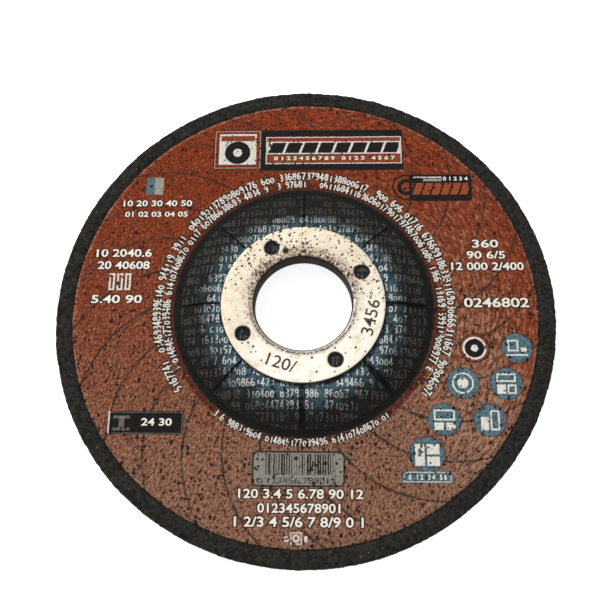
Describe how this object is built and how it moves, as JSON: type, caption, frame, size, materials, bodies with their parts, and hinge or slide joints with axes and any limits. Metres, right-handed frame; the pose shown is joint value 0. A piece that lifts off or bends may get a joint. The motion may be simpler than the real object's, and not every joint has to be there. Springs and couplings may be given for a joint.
{
  "type": "grinding disc",
  "caption": "Depressed-centre grinding disc: moulded abrasive body with a raised hub, printed paper label and pressed steel centre ring.",
  "frame": {"origin": "on the bore axis, in the plane of the rim's underside on which the disc lies", "axes": "+Z along the bore axis towards the label side; +X to the picture's right and +Y to its top"},
  "size_m": [0.115, 0.115, 0.01],
  "materials": {
    "abrasive": "coarse black grain in resin, matt",
    "label": "rust-red print on thin paper pressed into the grain, matt",
    "ring": "pale plated sheet steel with dark specks"
  },
  "bodies": {
    "root": {"abrasive_body": "abrasive", "paper_label": "label", "centre_ring": "ring"}
  },
  "joints": []
}
